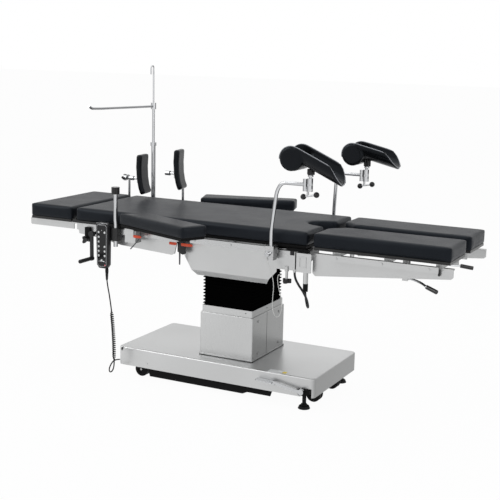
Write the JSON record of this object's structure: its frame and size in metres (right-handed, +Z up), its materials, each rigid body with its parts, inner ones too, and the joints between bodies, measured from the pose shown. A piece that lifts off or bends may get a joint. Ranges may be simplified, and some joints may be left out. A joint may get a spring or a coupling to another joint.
{
  "type": "operating table",
  "caption": "Operating table with lifting column, tilting sectioned top, split legs, arm boards, leg supports, screen bar, shoulder supports and wired handset.",
  "frame": {"origin": "on the floor under the middle of the base", "axes": "+X to the foot end, +Z up, -Y the side with the crank and handset"},
  "size_m": [2.123, 1.0654, 1.4555],
  "materials": {
    "dark_frame": "satin black paint",
    "steel": "fine brushed",
    "chrome": "polished",
    "bellows_rubber": "matt",
    "black_rubber": "matt",
    "pad_vinyl": "soft conductive cover",
    "arm_vinyl": "soft cover",
    "black_plastic": "moulded",
    "grey_plastic": "moulded",
    "cord_black": "matt",
    "cord_white": "matt"
  },
  "bodies": {
    "base": {"base_cover": "steel", "base_frame": "dark_frame", "column_cover": "steel", "leveling_feet": "black_rubber", "handset_lead": "cord_black", "bellows": "bellows_rubber"},
    "lift": {"lift_column": "steel", "column_head": "dark_frame"},
    "tilt": {"tilt_cross": "steel"},
    "seat": {"seat_frame": "dark_frame", "seat_skirt": "steel", "seat_cushion": "pad_vinyl", "seat_rails": "steel", "joint_covers": "steel", "joint_cable": "cord_black", "clamp_tether": "cord_white"},
    "back": {"back_frame": "steel", "back_cushion": "pad_vinyl", "back_rails": "steel", "rail_clamps": "black_plastic", "head_gearbox": "dark_frame", "handset": "black_plastic", "front_post": "chrome", "shoulder_supports": "chrome", "shoulder_pads": "pad_vinyl", "screen_tube": "chrome", "handset_cord": "cord_black", "handset_coil": "cord_black"},
    "head": {"head_frame": "steel", "head_cushion": "pad_vinyl"},
    "crank": {"crank": "black_plastic"},
    "crank_grip": {"crank_grip": "black_plastic"},
    "screen": {"screen_rod": "chrome"},
    "pedal": {"brake_pedal": "chrome"},
    "leg_hub_front": {"leg_hub_front": "steel"},
    "leg_front": {"leg_frame_front": "steel", "leg_cushion_front": "pad_vinyl"},
    "leg_lever_front": {"leg_lever_front": "chrome"},
    "leg_knob_front": {"leg_knob_front": "black_plastic"},
    "arm_front": {"arm_board_front": "dark_frame", "arm_cushion_front": "arm_vinyl"},
    "crutch_front": {"crutch_post_front": "chrome"},
    "shell_front": {"crutch_shell_front": "pad_vinyl"},
    "leg_hub_rear": {"leg_hub_rear": "steel"},
    "leg_rear": {"leg_frame_rear": "steel", "leg_cushion_rear": "pad_vinyl"},
    "leg_lever_rear": {"leg_lever_rear": "chrome"},
    "leg_knob_rear": {"leg_knob_rear": "black_plastic"},
    "arm_rear": {"arm_board_rear": "dark_frame", "arm_cushion_rear": "arm_vinyl"},
    "crutch_rear": {"crutch_post_rear": "chrome"},
    "shell_rear": {"crutch_shell_rear": "pad_vinyl"},
    "caster_1": {"caster_fork_1": "black_plastic"},
    "wheels_1": {"caster_wheels_1": "black_rubber"},
    "caster_2": {"caster_fork_2": "black_plastic"},
    "wheels_2": {"caster_wheels_2": "black_rubber"},
    "caster_3": {"caster_fork_3": "black_plastic"},
    "wheels_3": {"caster_wheels_3": "black_rubber"},
    "caster_4": {"caster_fork_4": "black_plastic"},
    "wheels_4": {"caster_wheels_4": "black_rubber"}
  },
  "joints": [
    {"name": "lift", "type": "slide", "parent": "base", "child": "lift", "axis": [0, 0, 1], "range_m": [-0.07, 0.23], "deforming": ["bellows", "handset_coil"]},
    {"name": "tilt_long", "type": "hinge", "parent": "lift", "child": "tilt", "pos_m": [0.026, 0, 0.64], "axis": [0, -1, 0], "range_deg": [-12, 25]},
    {"name": "tilt_side", "type": "hinge", "parent": "tilt", "child": "seat", "pos_m": [0.026, 0, 0.64], "axis": [1, 0, 0], "range_deg": [-18, 18]},
    {"name": "back_raise", "type": "hinge", "parent": "seat", "child": "back", "pos_m": [-0.15, 0, 0.712], "axis": [0, 1, 0], "range_deg": [-15, 75]},
    {"name": "head_tip", "type": "hinge", "parent": "back", "child": "head", "pos_m": [-0.7535, 0, 0.728], "axis": [0, 1, 0], "range_deg": [-90, 20]},
    {"name": "crank_turn", "type": "hinge", "parent": "back", "child": "crank", "pos_m": [-0.585, -0.3, 0.697], "axis": [0, 1, 0], "range_deg": [-1080, 240]},
    {"name": "crank_grip_spin", "type": "hinge", "parent": "crank", "child": "crank_grip", "pos_m": [-0.585, -0.4, 0.583], "axis": [0, 1, 0], "continuous": true},
    {"name": "screen_height", "type": "slide", "parent": "back", "child": "screen", "axis": [0, 0, 1], "range_m": [-0.08, 0.22]},
    {"name": "pedal_press", "type": "hinge", "parent": "base", "child": "pedal", "pos_m": [0.455, -0.26, 0.092], "axis": [0, -1, 0], "range_deg": [0, 12]},
    {"name": "leg_spread_front", "type": "hinge", "parent": "seat", "child": "leg_hub_front", "pos_m": [0.459, -0.2675, 0.64], "axis": [0, 0, -1], "range_deg": [0, 90]},
    {"name": "leg_drop_front", "type": "hinge", "parent": "leg_hub_front", "child": "leg_front", "pos_m": [0.48, -0.253, 0.692], "axis": [0, 1, 0], "range_deg": [-10, 75]},
    {"name": "leg_lever_front", "type": "hinge", "parent": "leg_front", "child": "leg_lever_front", "pos_m": [0.88, -0.2, 0.64], "axis": [0, -1, 0], "range_deg": [0, 10]},
    {"name": "leg_knob_front", "type": "hinge", "parent": "seat", "child": "leg_knob_front", "pos_m": [0.368, -0.264, 0.575], "axis": [0, 0, 1], "continuous": true},
    {"name": "arm_yaw_front", "type": "hinge", "parent": "back", "child": "arm_front", "pos_m": [-0.392, -0.306, 0.73], "axis": [0, 0, -1], "range_deg": [0, 60]},
    {"name": "crutch_swivel_front", "type": "hinge", "parent": "seat", "child": "crutch_front", "pos_m": [0.305, -0.296, 0.7], "axis": [0, 0, -1], "range_deg": [-30, 80]},
    {"name": "shell_tilt_front", "type": "hinge", "parent": "crutch_front", "child": "shell_front", "pos_m": [0.477, -0.296, 1.003], "axis": [0, 1, 0], "range_deg": [-12, 25]},
    {"name": "leg_spread_rear", "type": "hinge", "parent": "seat", "child": "leg_hub_rear", "pos_m": [0.459, 0.2675, 0.64], "axis": [0, 0, 1], "range_deg": [0, 90]},
    {"name": "leg_drop_rear", "type": "hinge", "parent": "leg_hub_rear", "child": "leg_rear", "pos_m": [0.48, 0.253, 0.692], "axis": [0, 1, 0], "range_deg": [-10, 75]},
    {"name": "leg_lever_rear", "type": "hinge", "parent": "leg_rear", "child": "leg_lever_rear", "pos_m": [0.88, 0.2, 0.64], "axis": [0, -1, 0], "range_deg": [0, 10]},
    {"name": "leg_knob_rear", "type": "hinge", "parent": "seat", "child": "leg_knob_rear", "pos_m": [0.368, 0.264, 0.575], "axis": [0, 0, 1], "continuous": true},
    {"name": "arm_yaw_rear", "type": "hinge", "parent": "back", "child": "arm_rear", "pos_m": [-0.392, 0.318, 0.73], "axis": [0, 0, 1], "range_deg": [0, 60]},
    {"name": "crutch_swivel_rear", "type": "hinge", "parent": "seat", "child": "crutch_rear", "pos_m": [0.347, 0.296, 0.7], "axis": [0, 0, 1], "range_deg": [-30, 80]},
    {"name": "shell_tilt_rear", "type": "hinge", "parent": "crutch_rear", "child": "shell_rear", "pos_m": [0.501, 0.296, 0.985], "axis": [0, 1, 0], "range_deg": [-12, 25]},
    {"name": "caster_swivel_1", "type": "hinge", "parent": "base", "child": "caster_1", "pos_m": [-0.43, -0.18, 0.08], "axis": [0, 0, 1], "continuous": true},
    {"name": "wheel_spin_1", "type": "hinge", "parent": "caster_1", "child": "wheels_1", "pos_m": [-0.41, -0.18, 0.036], "axis": [0, 1, 0], "continuous": true},
    {"name": "caster_swivel_2", "type": "hinge", "parent": "base", "child": "caster_2", "pos_m": [-0.43, 0.18, 0.08], "axis": [0, 0, 1], "continuous": true},
    {"name": "wheel_spin_2", "type": "hinge", "parent": "caster_2", "child": "wheels_2", "pos_m": [-0.41, 0.18, 0.036], "axis": [0, 1, 0], "continuous": true},
    {"name": "caster_swivel_3", "type": "hinge", "parent": "base", "child": "caster_3", "pos_m": [0.43, -0.105, 0.08], "axis": [0, 0, 1], "continuous": true},
    {"name": "wheel_spin_3", "type": "hinge", "parent": "caster_3", "child": "wheels_3", "pos_m": [0.45, -0.105, 0.036], "axis": [0, 1, 0], "continuous": true},
    {"name": "caster_swivel_4", "type": "hinge", "parent": "base", "child": "caster_4", "pos_m": [0.43, 0.105, 0.08], "axis": [0, 0, 1], "continuous": true},
    {"name": "wheel_spin_4", "type": "hinge", "parent": "caster_4", "child": "wheels_4", "pos_m": [0.45, 0.105, 0.036], "axis": [0, 1, 0], "continuous": true}
  ],
  "couplings": [
    {"joint": "crank_turn", "follows": "head_tip", "ratio": 12}
  ]
}
